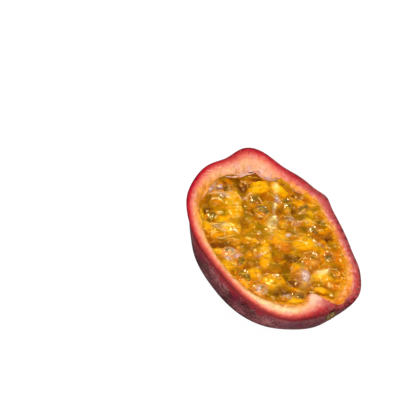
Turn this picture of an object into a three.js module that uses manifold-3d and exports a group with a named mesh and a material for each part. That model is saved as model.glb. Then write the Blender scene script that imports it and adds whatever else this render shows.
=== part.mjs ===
// Half a purple passion fruit, cut lengthwise through its stalk and lying on its skin with the cut face up.
// Millimetres, +Z up. The origin is the centre of the small flat spot it rests on, and +X runs to the stalk end.
import * as THREE from 'three';
import { mergeVertices } from 'three/addons/utils/BufferGeometryUtils.js';
import Module from 'manifold-3d';

const wasm = await Module();
wasm.setup();

// ---------------------------------------------------------------- driving dimensions
const LENGTH = 64; // stalk end to blossom end
const WIDTH = 52; // across the cut face
const DEPTH = 26.5; // cut face down to where the round bottom would reach
const REST_SHARE = 0.25; // flat spot's size, as a share of the outline
const FLOOR = 5; // rind under the pulp
const WALL = 3.9; // rind at the cut face
const LIP = 0.5; // how far the rind's inner edge overhangs the cavity
const GAP = 0.35; // clearance that keeps the rind and the pulp apart

const SEGMENTS = 72; // round the rind
const OUTER_RINGS = 11; // from the flat spot to the rim
const INNER_RINGS = 6; // from the lip to the cavity's lowest point

// Places round the cut face are angles in degrees, from the stalk at 0 towards +Y.
const OUTLINE_BULGES = [
  { at: 25, by: 2.8, spread: 13 },
  { at: 43, by: 0.5, spread: 5 },
  { at: 50, by: -0.4, spread: 10 },
  { at: 72, by: -0.6, spread: 12 },
  { at: 100, by: 1.4, spread: 5 }, // a small knob on the rim
  { at: 138, by: -1.0, spread: 8 },
  { at: 157, by: 3.3, spread: 11 },
  { at: 175, by: -1.5, spread: 8 },
  { at: 219, by: 0.5, spread: 9 },
  { at: 236, by: 1.0, spread: 19 },
  { at: 278, by: -0.6, spread: 16 },
  { at: 322, by: 0.8, spread: 16 },
  { at: 355, by: -1.2, spread: 12 },
  { at: 8, by: -0.7, spread: 6 },
];
const WALL_BULGES = [
  { at: 24, by: 2.1, spread: 15 },
  { at: 100, by: 0.7, spread: 5 },
  { at: 155, by: 1.0, spread: 14 },
  { at: 190, by: 1.0, spread: 12 },
  { at: 236, by: 0.5, spread: 12 },
  { at: 280, by: -1.2, spread: 22 },
  { at: 333, by: 1.4, spread: 12 },
  { at: 357, by: 2.8, spread: 6 }, // fold of pith beside the stalk
  { at: 9, by: -2.6, spread: 3.5 }, // notch where the juice runs out
];
// The torn skirt of pith that hangs over the pulp at the blossom end
const SKIRT_BULGES = [
  { at: 121, by: 1.2, spread: 4 },
  { at: 147, by: 3.2, spread: 5 },
  { at: 163, by: 3.1, spread: 8 },
  { at: 207, by: 1.1, spread: 6 },
];
const RIM_WAVES = [
  { at: 150, by: 0.5, spread: 26 },
  { at: 75, by: -0.3, spread: 24 },
  { at: 230, by: 0.2, spread: 20 },
  { at: 335, by: -0.3, spread: 22 },
];
// Shallow swellings and dents of the skin: angle round the fruit, angle down from the cut face
const SKIN_DENTS = [
  { at: 300, down: 34, by: 0.3, spread: 20 },
  { at: 252, down: 48, by: -0.6, spread: 18 },
  { at: 228, down: 18, by: -2.1, spread: 13 },
  { at: 200, down: 55, by: 0.5, spread: 16 },
  { at: 140, down: 52, by: -0.7, spread: 18 },
  { at: 95, down: 36, by: 0.5, spread: 20 },
  { at: 40, down: 46, by: -0.6, spread: 17 },
  { at: 0, down: 22, by: 2.0, spread: 11 }, // swelling round the stalk
];

// ---------------------------------------------------------------- shared formulas
const radians = THREE.MathUtils.degToRad;
const cosine = (degrees) => Math.cos(radians(degrees));
const sine = (degrees) => Math.sin(radians(degrees));
const turnBetween = (a, b) => ((((a - b + 180) % 360) + 360) % 360) - 180;
const bell = (distance, spread) => Math.exp(-0.5 * (distance / spread) ** 2);
const bulge = (list, angle) =>
  list.reduce((sum, b) => sum + b.by * bell(turnBetween(angle, b.at), b.spread), 0);

function ellipse(angle, halfLength, halfWidth) {
  return 1 / Math.hypot(cosine(angle) / halfLength, sine(angle) / halfWidth);
}

const outline = (angle) => ellipse(angle, LENGTH / 2, WIDTH / 2) + bulge(OUTLINE_BULGES, angle);
const wall = (angle) => WALL + bulge(WALL_BULGES, angle);
const skirt = (angle) => LIP + bulge(SKIRT_BULGES, angle) * (1 + 0.16 * sine(angle * 31));
const rimHeight = (angle) => bulge(RIM_WAVES, angle);

// A point of the skin, by its angle round the fruit and its angle down from the cut face
function skin(angle, down) {
  const flare = bulge(OUTLINE_BULGES, angle) * cosine(down) ** 2;
  const dents = SKIN_DENTS.reduce((sum, d) => {
    const across = turnBetween(angle, d.at) * cosine(down);
    return sum + d.by * bell(Math.hypot(across, down - d.down), d.spread);
  }, 0);
  const reach = (ellipse(angle, LENGTH / 2, WIDTH / 2) + flare + dents) * cosine(down);
  const aboveRest = (cosine(down) - REST_SHARE) / (1 - REST_SHARE);
  return [reach, rimHeight(angle) * Math.max(aboveRest, 0) ** 4 - DEPTH * sine(down)];
}

// The rind's inner edge at the cut face, the tip of its lip, and the tuck under the lip
const ringEdge = (angle) => [outline(angle) - wall(angle), rimHeight(angle) - 0.35];
const lipTip = (angle) => [
  outline(angle) - wall(angle) - skirt(angle),
  rimHeight(angle) - 0.7 - 0.5 * skirt(angle),
];
const tuck = (angle) => [
  outline(angle) - wall(angle) - 0.3 * skirt(angle),
  lipTip(angle)[1] - 1.3,
];

// A point of the cavity's wall: share 0 is the tuck under the lip, share 1 the lowest point
function cavity(angle, share) {
  const [reach, height] = tuck(angle);
  const lowest = FLOOR - DEPTH;
  const start = Math.asin(height / lowest);
  const down = start + share * (Math.PI / 2 - start);
  return [(reach * Math.cos(down)) / Math.cos(start), lowest * Math.sin(down)];
}

// ---------------------------------------------------------------- mesh helpers
// A closed body turned about Z, whose profile changes with the angle. The first and last stations lie on the axis.
function turned(stations, segments) {
  const blank = stations.map(() => new THREE.Vector2(1, 0));
  const geometry = new THREE.LatheGeometry(blank, segments);
  const position = geometry.getAttribute('position');
  for (let i = 0; i <= segments; i++) {
    const angle = (360 * (i % segments)) / segments;
    stations.forEach((station, j) => {
      const [reach, height] = station(angle);
      position.setXYZ(i * stations.length + j, reach * cosine(angle), reach * sine(angle), height);
    });
  }
  return geometry;
}

const steps = (count) => Array.from({ length: count }, (_, i) => i);

// A closed geometry as a solid for booleans
function solid(geometry) {
  const bare = geometry.clone();
  bare.deleteAttribute('normal');
  bare.deleteAttribute('uv');
  const merged = mergeVertices(bare, 1e-3);
  const corners = merged.index.array;
  const kept = steps(corners.length / 3).filter((t) => {
    const [a, b, c] = corners.slice(3 * t, 3 * t + 3);
    return a !== b && b !== c && c !== a;
  });
  const triVerts = new Uint32Array(kept.flatMap((t) => [...corners.slice(3 * t, 3 * t + 3)]));
  const vertProperties = merged.getAttribute('position').array;
  return new wasm.Manifold(new wasm.Mesh({ numProp: 3, vertProperties, triVerts }));
}

function geometryOf(body) {
  const { numProp, vertProperties, triVerts } = body.getMesh();
  const points = new Float32Array((vertProperties.length / numProp) * 3);
  for (let i = 0; i < points.length / 3; i++) {
    points.set(vertProperties.subarray(i * numProp, i * numProp + 3), i * 3);
  }
  const geometry = new THREE.BufferGeometry();
  geometry.setAttribute('position', new THREE.BufferAttribute(points, 3));
  geometry.setIndex(new THREE.BufferAttribute(triVerts, 1));
  return geometry;
}

// ---------------------------------------------------------------- rind
const restDown = THREE.MathUtils.radToDeg(Math.acos(REST_SHARE));
const restHeight = DEPTH * sine(restDown);

const rindStations = [
  () => [0, -restHeight],
  ...steps(OUTER_RINGS).map((i) => {
    const down = restDown * (1 - i / OUTER_RINGS);
    return (angle) => skin(angle, down);
  }),
  (angle) => [outline(angle) - 0.15, rimHeight(angle) - 0.2],
  (angle) => [outline(angle) - 0.5, rimHeight(angle)],
  (angle) => [outline(angle) - 0.5 * wall(angle), rimHeight(angle) - 0.1],
  ringEdge,
  lipTip,
  ...steps(INNER_RINGS).map((i) => (angle) => cavity(angle, i / INNER_RINGS)),
  () => [0, FLOOR - DEPTH],
];

// ---------------------------------------------------------------- pulp
const BED_LEVEL = -2.3; // jelly between the arils, below the cut face
const BED_DOME = 0.8; // how much higher the jelly lies in the middle
const ARIL = { length: 7.8, width: 5.6, height: 4.4 }; // one seed's juice sac
const ARIL_LIFT = 1.3; // how far a whole lift raises an aril
const ARIL_SINK = 0.35; // how deep the middle of an aril without lift lies
const JELLY_RISE = 0.9; // juice that stands over the bed, between the arils
const ARIL_SPACING = 4.4;
const ARIL_TRIES = 1500;
const EDGE_ROOM = 2.2; // from an aril's centre to the rind
const SEED = { length: 5.2, width: 3.4, height: 2 };

// Hollows and swellings of the jelly: centre, height, radius
const BED_HOLLOWS = [
  { x: -21, y: 1, by: -3.4, spread: 5.5 },
  { x: -17, y: -15, by: -1.8, spread: 3 },
  { x: -6, y: -21, by: -1.2, spread: 3 },
  { x: 9, y: 2.5, by: -1.0, spread: 3.2 },
  { x: -8, y: -2, by: -0.9, spread: 3.2 },
  { x: -15, y: 9, by: 0.9, spread: 5 },
  { x: 23.5, y: -1.5, by: -1.6, spread: 2.4 },
  { x: 16, y: -4, by: -1.0, spread: 2.4 },
  { x: 0, y: -11, by: -0.7, spread: 2.4 },
  { x: -6, y: 12.5, by: -0.5, spread: 2.4 },
  { x: -14.5, y: -6, by: 0.5, spread: 3.6 },
  { x: 7, y: 8, by: 0.5, spread: 3.2 },
  { x: 14.8, y: -10.6, by: 0.6, spread: 3.2 },
];

// Arils that stand out at the cut face: centre, heading in degrees, size against the usual
const SHOWN_ARILS = [
  { x: -17.2, y: 7.6, heading: 80, size: 1.0 },
  { x: -13.6, y: 12.6, heading: 30, size: 0.9 },
  { x: -14.6, y: -14.7, heading: 108, size: 0.8 },
  { x: -21.5, y: -2.2, heading: 140, size: 0.8 },
  { x: -14.8, y: 3.0, heading: 120, size: 0.7 },
  { x: -9.3, y: 2.4, heading: 20, size: 0.85 },
  { x: -4.3, y: 2.2, heading: 135, size: 1.1 },
  { x: -7.7, y: 11.3, heading: 150, size: 0.9 },
  { x: -2.8, y: 8.6, heading: 50, size: 0.95 },
  { x: 12.9, y: 6.8, heading: 80, size: 1.0 },
  { x: -0.7, y: -17.6, heading: 60, size: 0.75 },
  { x: 3.6, y: -16.4, heading: 110, size: 0.8 },
  { x: 15.0, y: -16.6, heading: 67, size: 0.85 },
  { x: 17.4, y: 1.0, heading: 150, size: 0.75 },
  { x: 19.4, y: 8.0, heading: 40, size: 1.0 },
  { x: -19.6, y: -7.6, heading: 70, size: 1.1 },
  { x: -9.6, y: -16.4, heading: 62, size: 1.0 },
  { x: -4.6, y: -12.6, heading: 64, size: 1.0 },
  { x: -13.0, y: -6.2, heading: 75, size: 1.0 },
  { x: 15.2, y: -10.4, heading: 40, size: 1.1 },
];

// A repeatable draw between 0 and 1
function seeded(start) {
  let state = start;
  return () => {
    state = (Math.imul(state, 1664525) + 1013904223) >>> 0;
    return state / 4294967296;
  };
}

function bedHeight(x, y) {
  const share = Math.hypot(x / (LENGTH / 2), y / (WIDTH / 2));
  const hollows = BED_HOLLOWS.reduce(
    (sum, h) => sum + h.by * bell(Math.hypot(x - h.x, y - h.y), h.spread), 0);
  return BED_LEVEL + BED_DOME * (1 - share ** 2) + hollows;
}

// Every aril: the ones that stand out, then others wherever there is room
function arils() {
  const draw = seeded(20);
  const placed = SHOWN_ARILS.map((a) => ({ ...a, pitch: 0, lift: 0.55 }));
  for (let i = 0; i < ARIL_TRIES; i++) {
    const angle = 360 * draw();
    const reach = (outline(angle) - wall(angle) - EDGE_ROOM) * Math.sqrt(draw());
    const x = reach * cosine(angle);
    const y = reach * sine(angle);
    const heading = 360 * draw();
    const pitch = 50 * draw() - 25;
    const size = 0.78 + 0.3 * draw();
    const lift = 0.9 * draw() - 0.5;
    const room = placed.every((a) => Math.hypot(a.x - x, a.y - y) > ARIL_SPACING * 0.5 * (size + a.size));
    if (room) placed.push({ x, y, heading, pitch, size, lift });
  }
  return placed;
}

// A sac or a seed: an egg with its blunt end towards +X, of few sides
function egg({ length, width, height }, segments, rings) {
  const geometry = new THREE.SphereGeometry(1, segments, rings);
  geometry.rotateZ(-Math.PI / 2);
  const position = geometry.getAttribute('position');
  for (let i = 0; i < position.count; i++) {
    const along = position.getX(i);
    const swell = 1 + 0.22 * along;
    position.setXYZ(
      i,
      (along * length) / 2,
      (position.getY(i) * swell * width) / 2,
      (position.getZ(i) * swell * height) / 2,
    );
  }
  return geometry;
}

// Puts a geometry that lies along +X at a place, turned to its heading and pitched nose up
function placedAt(geometry, { x, y, z, heading, pitch, size }) {
  const turn = new THREE.Euler(0, radians(-pitch), radians(heading), 'ZYX');
  const matrix = new THREE.Matrix4().compose(
    new THREE.Vector3(x, y, z),
    new THREE.Quaternion().setFromEuler(turn),
    new THREE.Vector3(size, size, size),
  );
  return geometry.clone().applyMatrix4(matrix);
}

// The space that the pulp may fill: the cavity less the gap, and straight up from the lip
function pulpRoom() {
  const bottomUp = steps(INNER_RINGS - 1).map((i) => 1 - (i + 1) / INNER_RINGS);
  return turned(
    [
      () => [0, FLOOR + GAP - DEPTH],
      ...bottomUp.map((share) => (angle) => {
        const [reach, height] = cavity(angle, share);
        return [reach - GAP, height + GAP * share];
      }),
      (angle) => [tuck(angle)[0] - GAP, tuck(angle)[1] - GAP],
      (angle) => [lipTip(angle)[0] - GAP, lipTip(angle)[1]],
      (angle) => [lipTip(angle)[0] - GAP, 6],
      () => [0, 6],
    ],
    SEGMENTS,
  );
}

// The jelly that the arils lie in, wider and deeper than the room that cuts it to shape
function jellyBed() {
  const rings = 7;
  return turned(
    [
      () => [0, -DEPTH - 2],
      () => [LENGTH / 2 + 4, -DEPTH - 2],
      ...steps(rings).map((i) => (angle) => {
        const reach = (outline(angle) + 1) * (1 - i / rings);
        return [reach, bedHeight(reach * cosine(angle), reach * sine(angle)) + JELLY_RISE];
      }),
      () => [0, bedHeight(0, 0) + JELLY_RISE],
    ],
    48,
  );
}

function pulpSolid() {
  const sac = egg(ARIL, 7, 5);
  const seed = egg(SEED, 5, 4);
  const pieces = arils().flatMap((aril, i) => {
    const z = bedHeight(aril.x, aril.y) + aril.lift * ARIL_LIFT - ARIL_SINK;
    const bodies = [solid(placedAt(sac, { ...aril, z }))];
    if (i % 4 === 0) bodies.push(solid(placedAt(seed, { ...aril, z: z + 0.28 * ARIL.height * aril.size })));
    return bodies;
  });
  const heap = wasm.Manifold.union([solid(jellyBed()), ...pieces]).intersect(solid(pulpRoom()));
  const bodies = heap.decompose().sort((a, b) => b.volume() - a.volume());
  return bodies[0];
}

// ---------------------------------------------------------------- stalk
const STALK = { radius: 1.8, length: 0.9, down: 4.5, at: 2 };

// The woody end of the stalk, a short stub with a worn rim and a hollow in its end
function stalkStub() {
  const { radius, length } = STALK;
  const profile = [
    [0, 0],
    [radius * 0.86, 0],
    [radius, length * 0.35],
    [radius * 0.92, length * 0.85],
    [radius * 0.7, length],
    [radius * 0.35, length * 0.72],
    [0, length * 0.66],
  ].map(([reach, height]) => new THREE.Vector2(reach, height));
  return new THREE.LatheGeometry(profile, 14);
}

// ---------------------------------------------------------------- the half fruit
function piece(name, geometry, colour, roughness) {
  const material = new THREE.MeshStandardMaterial({ color: colour, roughness, metalness: 0 });
  const mesh = new THREE.Mesh(geometry, material);
  mesh.name = name;
  return mesh;
}

const half = new THREE.Group();
half.position.z = restHeight;

half.add(piece('rind', turned(rindStations, SEGMENTS), 0x6b1f2e, 0.35));
half.add(piece('pulp', geometryOf(pulpSolid()), 0xf0a010, 0.15));

const stalk = piece('stalk', stalkStub(), 0x8a6f3c, 0.8);
const [stalkReach, stalkHeight] = skin(STALK.at, STALK.down);
stalk.position.set(
  (stalkReach + GAP) * cosine(STALK.at),
  (stalkReach + GAP) * sine(STALK.at),
  stalkHeight,
);
stalk.quaternion.setFromUnitVectors(
  new THREE.Vector3(0, 1, 0),
  new THREE.Vector3(cosine(STALK.at), sine(STALK.at), -sine(STALK.down)).normalize(),
);
half.add(stalk);

export default half;
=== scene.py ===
"""Half a passion fruit on a pale floor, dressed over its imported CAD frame.

The shape formulas repeat those of the CAD, so each piece follows the solid that it replaces. Unless a line
says otherwise, sizes are in mm, heights count from the cut, and angles are in degrees from the stalk.
"""

import math
from collections import namedtuple

import bmesh
import bpy
import numpy as np
from mathutils import Euler, Matrix, Vector, noise


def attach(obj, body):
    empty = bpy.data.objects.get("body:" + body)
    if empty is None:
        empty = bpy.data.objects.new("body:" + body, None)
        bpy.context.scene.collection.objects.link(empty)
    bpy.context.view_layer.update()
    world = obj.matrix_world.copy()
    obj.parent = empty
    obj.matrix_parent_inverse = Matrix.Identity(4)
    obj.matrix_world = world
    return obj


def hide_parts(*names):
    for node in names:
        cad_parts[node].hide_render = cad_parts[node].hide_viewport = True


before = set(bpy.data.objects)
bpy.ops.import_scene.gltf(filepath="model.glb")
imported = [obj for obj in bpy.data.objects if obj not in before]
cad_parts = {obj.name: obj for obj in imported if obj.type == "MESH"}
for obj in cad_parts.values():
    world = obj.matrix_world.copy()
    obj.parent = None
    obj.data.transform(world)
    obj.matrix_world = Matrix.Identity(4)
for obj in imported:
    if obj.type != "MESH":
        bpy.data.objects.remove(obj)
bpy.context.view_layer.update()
scene = bpy.context.scene
MM = 0.001


def put(name, data):
    """A new object in the scene."""
    obj = bpy.data.objects.new(name, data)
    scene.collection.objects.link(obj)
    return obj


# ---- sizes shared with the CAD
LENGTH, WIDTH, DEPTH = 64, 52, 26.5  # the cut face, and how far down the round bottom would reach
REST_SHARE = 0.25  # the flat spot's size, as a share of the outline
SKIRT_DROP = 0.35  # how far below the rim the torn lip starts
FLOOR, WALL, LIP, GAP = 5, 3.9, 0.5, 0.35  # pith below the pulp, ring, lip, clearance between solids
REST_DOWN = math.degrees(math.acos(REST_SHARE))
REST_HEIGHT = DEPTH * math.sin(math.radians(REST_DOWN))

# Bulges of the outline, the ring, the lip and the rim's height: angle from the stalk, height, spread
OUTLINE_BULGES = [
    (25, 2.8, 13), (43, 0.5, 5), (50, -0.4, 10), (72, -0.6, 12), (100, 1.4, 5), (138, -1, 8),
    (157, 3.3, 11), (175, -1.5, 8), (219, 0.5, 9), (236, 1, 19), (278, -0.6, 16), (322, 0.8, 16),
    (355, -1.2, 12), (8, -0.7, 6),
]
WALL_BULGES = [
    (24, 2.1, 15), (100, 0.7, 5), (155, 1, 14), (190, 1, 12), (236, 0.5, 12), (280, -1.2, 22),
    (333, 1.4, 12), (357, 2.8, 6), (9, -2.6, 3.5),
]
SKIRT_BULGES = [(121, 1.2, 4), (147, 3.2, 5), (163, 3.1, 8), (207, 1.1, 6)]
RIM_WAVES = [(150, 0.5, 26), (75, -0.3, 24), (230, 0.2, 20), (335, -0.3, 22)]
# Dents of the skin: angle round, angle down, height, spread
SKIN_DENTS = [
    (300, 34, 0.3, 20), (252, 48, -0.6, 18), (228, 18, -2.1, 13), (200, 55, 0.5, 16), (140, 52, -0.7, 18),
    (95, 36, 0.5, 20), (40, 46, -0.6, 17), (0, 22, 2, 11),
]

BED_LEVEL, BED_DOME = -2.3, 0.8  # the jelly's level at the edge, and its rise in the middle
# Hollows and swellings of the jelly: centre, height, radius
BED_HOLLOWS = [
    (-21, 1, -3.4, 5.5), (-17, -15, -1.8, 3), (-6, -21, -1.2, 3), (9, 2.5, -1, 3.2), (-8, -2, -0.9, 3.2),
    (-15, 9, 0.9, 5), (23.5, -1.5, -1.6, 2.4), (16, -4, -1, 2.4), (0, -11, -0.7, 2.4),
    (-6, 12.5, -0.5, 2.4), (-14.5, -6, 0.5, 3.6), (7, 8, 0.5, 3.2), (14.8, -10.6, 0.6, 3.2),
]
ARIL = (7.8, 5.6, 4.4)  # one seed's juice sac in the CAD: length, width, height
ARIL_LIFT = 1.3  # how much higher an aril lies for each unit of its lift
ARIL_SPACING, ARIL_TRIES, EDGE_ROOM = 4.4, 1500, 2.2
SHOWN_LIFT = 0.55
# Arils that the photo shows: x, y, heading, size
SHOWN_ARILS = [
    (-17.2, 7.6, 80, 1), (-13.6, 12.6, 30, 0.9), (-14.6, -14.7, 108, 0.8), (-21.5, -2.2, 140, 0.8),
    (-14.8, 3, 120, 0.7), (-9.3, 2.4, 20, 0.85), (-4.3, 2.2, 135, 1.1), (-7.7, 11.3, 150, 0.9),
    (-2.8, 8.6, 50, 0.95), (12.9, 6.8, 80, 1), (-0.7, -17.6, 60, 0.75), (3.6, -16.4, 110, 0.8),
    (15, -16.6, 67, 0.85), (17.4, 1, 150, 0.75), (19.4, 8, 40, 1), (-19.6, -7.6, 70, 1.1),
    (-9.6, -16.4, 62, 1), (-4.6, -12.6, 64, 1), (-13, -6.2, 75, 1), (15.2, -10.4, 40, 1.1),
]


# ---- camera
TARGET = (2.1, -0.95, REST_HEIGHT)  # the point of the cut face that the camera is measured from
AZIMUTH, ELEVATION, ROLL = 27, 50, 33
DISTANCE = 450
FOCAL = 1408.5  # pixels, in a frame of 400
FRAME_PX, SENSOR = 400, 36
TARGET_PX = (275, 240)  # where the target falls in the picture
NEAREST = 0.01  # m: what is closer isn't rendered


def place_camera():
    az, el, roll = (math.radians(a) for a in (AZIMUTH, ELEVATION, ROLL))
    back = Vector((math.sin(az) * math.cos(el), -math.cos(az) * math.cos(el), math.sin(el)))
    level = Vector((math.cos(az), math.sin(az), 0))
    upright = back.cross(level)
    right = math.cos(roll) * level + math.sin(roll) * upright
    up = -math.sin(roll) * level + math.cos(roll) * upright
    centre = FRAME_PX / 2
    ray = right * (TARGET_PX[0] - centre) - up * (TARGET_PX[1] - centre) - back * FOCAL
    turn = ray.normalized().rotation_difference(-back)
    axes = Matrix((turn @ right, turn @ up, turn @ back)).transposed()
    data = bpy.data.cameras.new("camera")
    data.sensor_width = SENSOR
    data.lens = SENSOR * FOCAL / FRAME_PX
    data.clip_start = NEAREST
    scene.camera = put("camera", data)
    place = (Vector(TARGET) + back * DISTANCE) * MM
    scene.camera.matrix_world = Matrix.LocRotScale(place, axes.to_quaternion(), None)


place_camera()


# ---- shape formulas, as in the CAD
def cosine(degrees):
    return np.cos(np.radians(degrees))


def sine(degrees):
    return np.sin(np.radians(degrees))


def polar(reach, angle):
    return reach * cosine(angle), reach * sine(angle)


def angle_of(x, y):
    return np.degrees(np.arctan2(y, x))


def bell(distance, spread):
    return np.exp(-0.5 * (distance / spread) ** 2)


def turn_between(a, b):
    return (a - b + 180) % 360 - 180


def held(share):
    """The share, kept between 0 and 1."""
    return np.clip(share, 0, 1)


def bulge(items, angle):
    return sum(by * bell(turn_between(angle, at), spread) for at, by, spread in items)


def mounds(items, x, y):
    return sum(by * bell(np.hypot(x - cx, y - cy), spread) for cx, cy, by, spread in items)


def ellipse(angle):
    return 1 / np.hypot(cosine(angle) / (LENGTH / 2), sine(angle) / (WIDTH / 2))


def outline(angle):
    return ellipse(angle) + bulge(OUTLINE_BULGES, angle)


def wall(angle):
    return WALL + bulge(WALL_BULGES, angle)


def ring_edge(angle):
    """How far out the ring of pith ends and the pulp starts."""
    return outline(angle) - wall(angle)


def room_at(x, y):
    """How far a place lies inside the ring's edge."""
    return ring_edge(angle_of(x, y)) - np.hypot(x, y)


def skirt(angle):
    """How far the torn lip of pith hangs over the pulp, with finer tears than the CAD's."""
    return LIP + bulge(SKIRT_BULGES, angle) * (1 + 0.1 * sine(angle * 17 + 30) + 0.05 * sine(angle * 41))


def rim_height(angle):
    return bulge(RIM_WAVES, angle)


def skirt_height(angle, share):
    """The torn lip's top, from share 0 at the ring to 1 at its tip."""
    return rim_height(angle) - SKIRT_DROP - share**1.25 * (SKIRT_DROP + 0.5 * skirt(angle))


def skin(angle, down):
    """A point of the skin, by its angle round the fruit and its angle down from the cut."""
    flare = bulge(OUTLINE_BULGES, angle) * cosine(down) ** 2
    dents = sum(
        by * bell(np.hypot(turn_between(angle, at) * cosine(down), down - low), spread)
        for at, low, by, spread in SKIN_DENTS
    )
    reach = (ellipse(angle) + flare + dents) * cosine(down)
    above_rest = max((cosine(down) - REST_SHARE) / (1 - REST_SHARE), 0)
    return reach, rim_height(angle) * above_rest**4 - DEPTH * sine(down)


def cavity(angle, share):
    """A point of the cavity's wall: share 0 is the tuck under the lip, 1 the lowest point."""
    reach = ring_edge(angle) - 0.3 * skirt(angle)
    height = rim_height(angle) - 2.0 - 0.5 * skirt(angle)
    lowest = FLOOR - DEPTH
    start = np.arcsin(height / lowest)
    down = start + share * (np.pi / 2 - start)
    return reach * np.cos(down) / np.cos(start), lowest * np.sin(down)


def bed_height(x, y):
    share = np.hypot(x / (LENGTH / 2), y / (WIDTH / 2))
    return BED_LEVEL + BED_DOME * (1 - share**2) + mounds(BED_HOLLOWS, x, y)


class Draw:
    """A repeatable draw between 0 and 1, the same as the CAD's."""

    def __init__(self, start):
        self.state = start

    def __call__(self):
        self.state = (self.state * 1664525 + 1013904223) & 0xFFFFFFFF
        return self.state / 4294967296


def random_spot(draw, margin):
    """A place in the cavity, at least margin from the ring's edge."""
    angle = 360 * draw()
    return polar((ring_edge(angle) - margin) * math.sqrt(draw()), angle)


def place_arils():
    """Every aril of the CAD, as x, y, heading, size, pitch and lift."""
    draw = Draw(20)
    placed = [(*a, 0, SHOWN_LIFT) for a in SHOWN_ARILS]
    for _ in range(ARIL_TRIES):
        x, y = random_spot(draw, EDGE_ROOM)
        heading = 360 * draw()
        pitch = 50 * draw() - 25
        size = 0.78 + 0.3 * draw()
        lift = 0.9 * draw() - 0.5
        if all(math.hypot(a[0] - x, a[1] - y) > ARIL_SPACING * 0.5 * (size + a[3]) for a in placed):
            placed.append((x, y, heading, size, pitch, lift))
    return placed


# ---- mesh helpers
def wobble(points, scale, seed):
    """Smooth noise, -1 to 1, at each point; scale is the size of its lumps."""
    shift = Vector((seed * 17.3, seed * -9.1, seed * 5.7))
    flat = np.reshape(points, (-1, 3)) / scale
    values = [noise.noise(Vector(p) + shift) for p in flat.tolist()]
    return np.reshape(values, np.shape(points)[:-1])


def relief(points, *lumps):
    """Heights of smooth noise at each point; lumps gives each layer's size, height and seed."""
    return sum(wobble(points, size, seed) * height for size, height, seed in lumps)


def flat_points(x, y):
    """The places x, y as points of height 0."""
    return np.stack([x, y, 0 * x], axis=-1)


def all_round(count):
    """Evenly spread angles of one turn."""
    return np.arange(count) * 360 / count


def ring_points(reach, angle, height):
    """Points round the fruit's axis, one for each angle."""
    return np.stack([*polar(reach, angle), height + 0 * angle], axis=1)


def new_piece(name, points, faces, materials, values=None, material_index=None):
    """A smooth mesh piece that rides on the fruit; values holds numbers for its material at each point."""
    mesh = bpy.data.meshes.new(name)
    lifted = np.array(points, float).reshape(-1, 3) + (0, 0, REST_HEIGHT)
    mesh.from_pydata((lifted * MM).tolist(), [], faces)
    mesh.polygons.foreach_set("use_smooth", np.ones(len(mesh.polygons), bool))
    for material in materials:
        mesh.materials.append(material)
    if material_index is not None:
        mesh.polygons.foreach_set("material_index", material_index)
    for key, numbers in (values or {}).items():
        layer = mesh.attributes.new(key, "FLOAT", "POINT")
        layer.data.foreach_set("value", np.ravel(numbers).astype(np.float32))
    obj = put(name, mesh)
    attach(obj, "root")
    return obj


def ring_faces(rings, segments):
    """The faces between closed rings of points, one ring after another."""
    faces = []
    for j in range(rings - 1):
        a, b = j * segments, (j + 1) * segments
        for i in range(segments):
            k = (i + 1) % segments
            faces.append((a + i, a + k, b + k, b + i))
    return faces


def ball(detail):
    """Vertices and triangles of an icosphere of radius 1."""
    bm = bmesh.new()
    bmesh.ops.create_icosphere(bm, subdivisions=detail, radius=1)
    points = np.array([v.co[:] for v in bm.verts])
    faces = [tuple(v.index for v in f.verts) for f in bm.faces]
    bm.free()
    return points, faces


def egg(unit, sizes):
    """The unit ball as an egg along +X, blunt end forward."""
    x, y, z = unit.T
    length, width, height = sizes
    swell = 1 + 0.22 * x
    return np.stack([x * length / 2, y * swell * width / 2, z * swell * height / 2], axis=1)


def posed(points, place, heading, pitch, roll=0, size=1):
    turn = Euler((math.radians(roll), math.radians(-pitch), math.radians(heading)), "XYZ").to_matrix()
    return points @ np.array(turn).T * size + place


class Heap:
    """Collects many small closed shapes into one piece."""

    def __init__(self):
        self.points, self.faces, self.values, self.count = [], [], {}, 0

    def add(self, points, faces, **values):
        self.points.append(points)
        self.faces.extend(tuple(i + self.count for i in f) for f in faces)
        self.count += len(points)
        for key, number in values.items():
            self.values.setdefault(key, []).append(np.broadcast_to(number, len(points)))

    def piece(self, name, materials, slot):
        values = {key: np.concatenate(parts) for key, parts in self.values.items()}
        return new_piece(name, np.concatenate(self.points), self.faces, materials, values)


# ---- material helpers
def linear(red, green, blue):
    """A colour given as it looks on screen, 0 to 255, as shader values."""
    parts = [c / 255 for c in (red, green, blue)]
    return (*[p / 12.92 if p <= 0.04045 else ((p + 0.055) / 1.055) ** 2.4 for p in parts], 1)


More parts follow.
